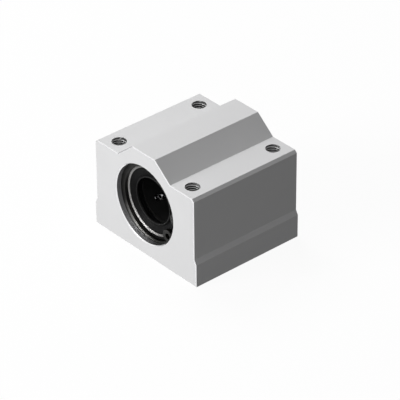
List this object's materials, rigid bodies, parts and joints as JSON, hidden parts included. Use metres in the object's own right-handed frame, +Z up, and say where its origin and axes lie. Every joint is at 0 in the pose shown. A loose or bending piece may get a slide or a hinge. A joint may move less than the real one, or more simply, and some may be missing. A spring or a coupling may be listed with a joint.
{
  "type": "linear bearing block",
  "caption": "Aluminium slide block with a recirculating ball bearing for a round shaft, held by retaining rings, with tapped holes in both shoulders.",
  "frame": {"origin": "centre of the flat foot", "axes": "+X across the block, +Y along the bore from the front mouth to the rear one, +Z up from the foot to the ridge"},
  "size_m": [0.05, 0.044, 0.0385],
  "materials": {
    "housing": "clear anodised, fine satin",
    "bearing_steel": "ground bearing steel",
    "cage": "moulded, matte",
    "balls": "polished",
    "end_rings": "stamped, satin",
    "seals": "moulded nitrile rubber",
    "retaining_rings": "dark phosphated spring steel"
  },
  "bodies": {
    "root": {"housing_block": "housing", "bearing_sleeve": "bearing_steel", "ball_cage": "cage", "loaded_balls_1": "balls", "loaded_balls_2": "balls", "loaded_balls_3": "balls", "loaded_balls_4": "balls", "loaded_balls_5": "balls", "return_balls_1": "balls", "return_balls_2": "balls", "return_balls_3": "balls", "return_balls_4": "balls", "return_balls_5": "balls", "front_end_ring": "end_rings", "rear_end_ring": "end_rings", "front_seal": "seals", "rear_seal": "seals", "front_retaining_ring": "retaining_rings", "rear_retaining_ring": "retaining_rings"}
  },
  "joints": []
}
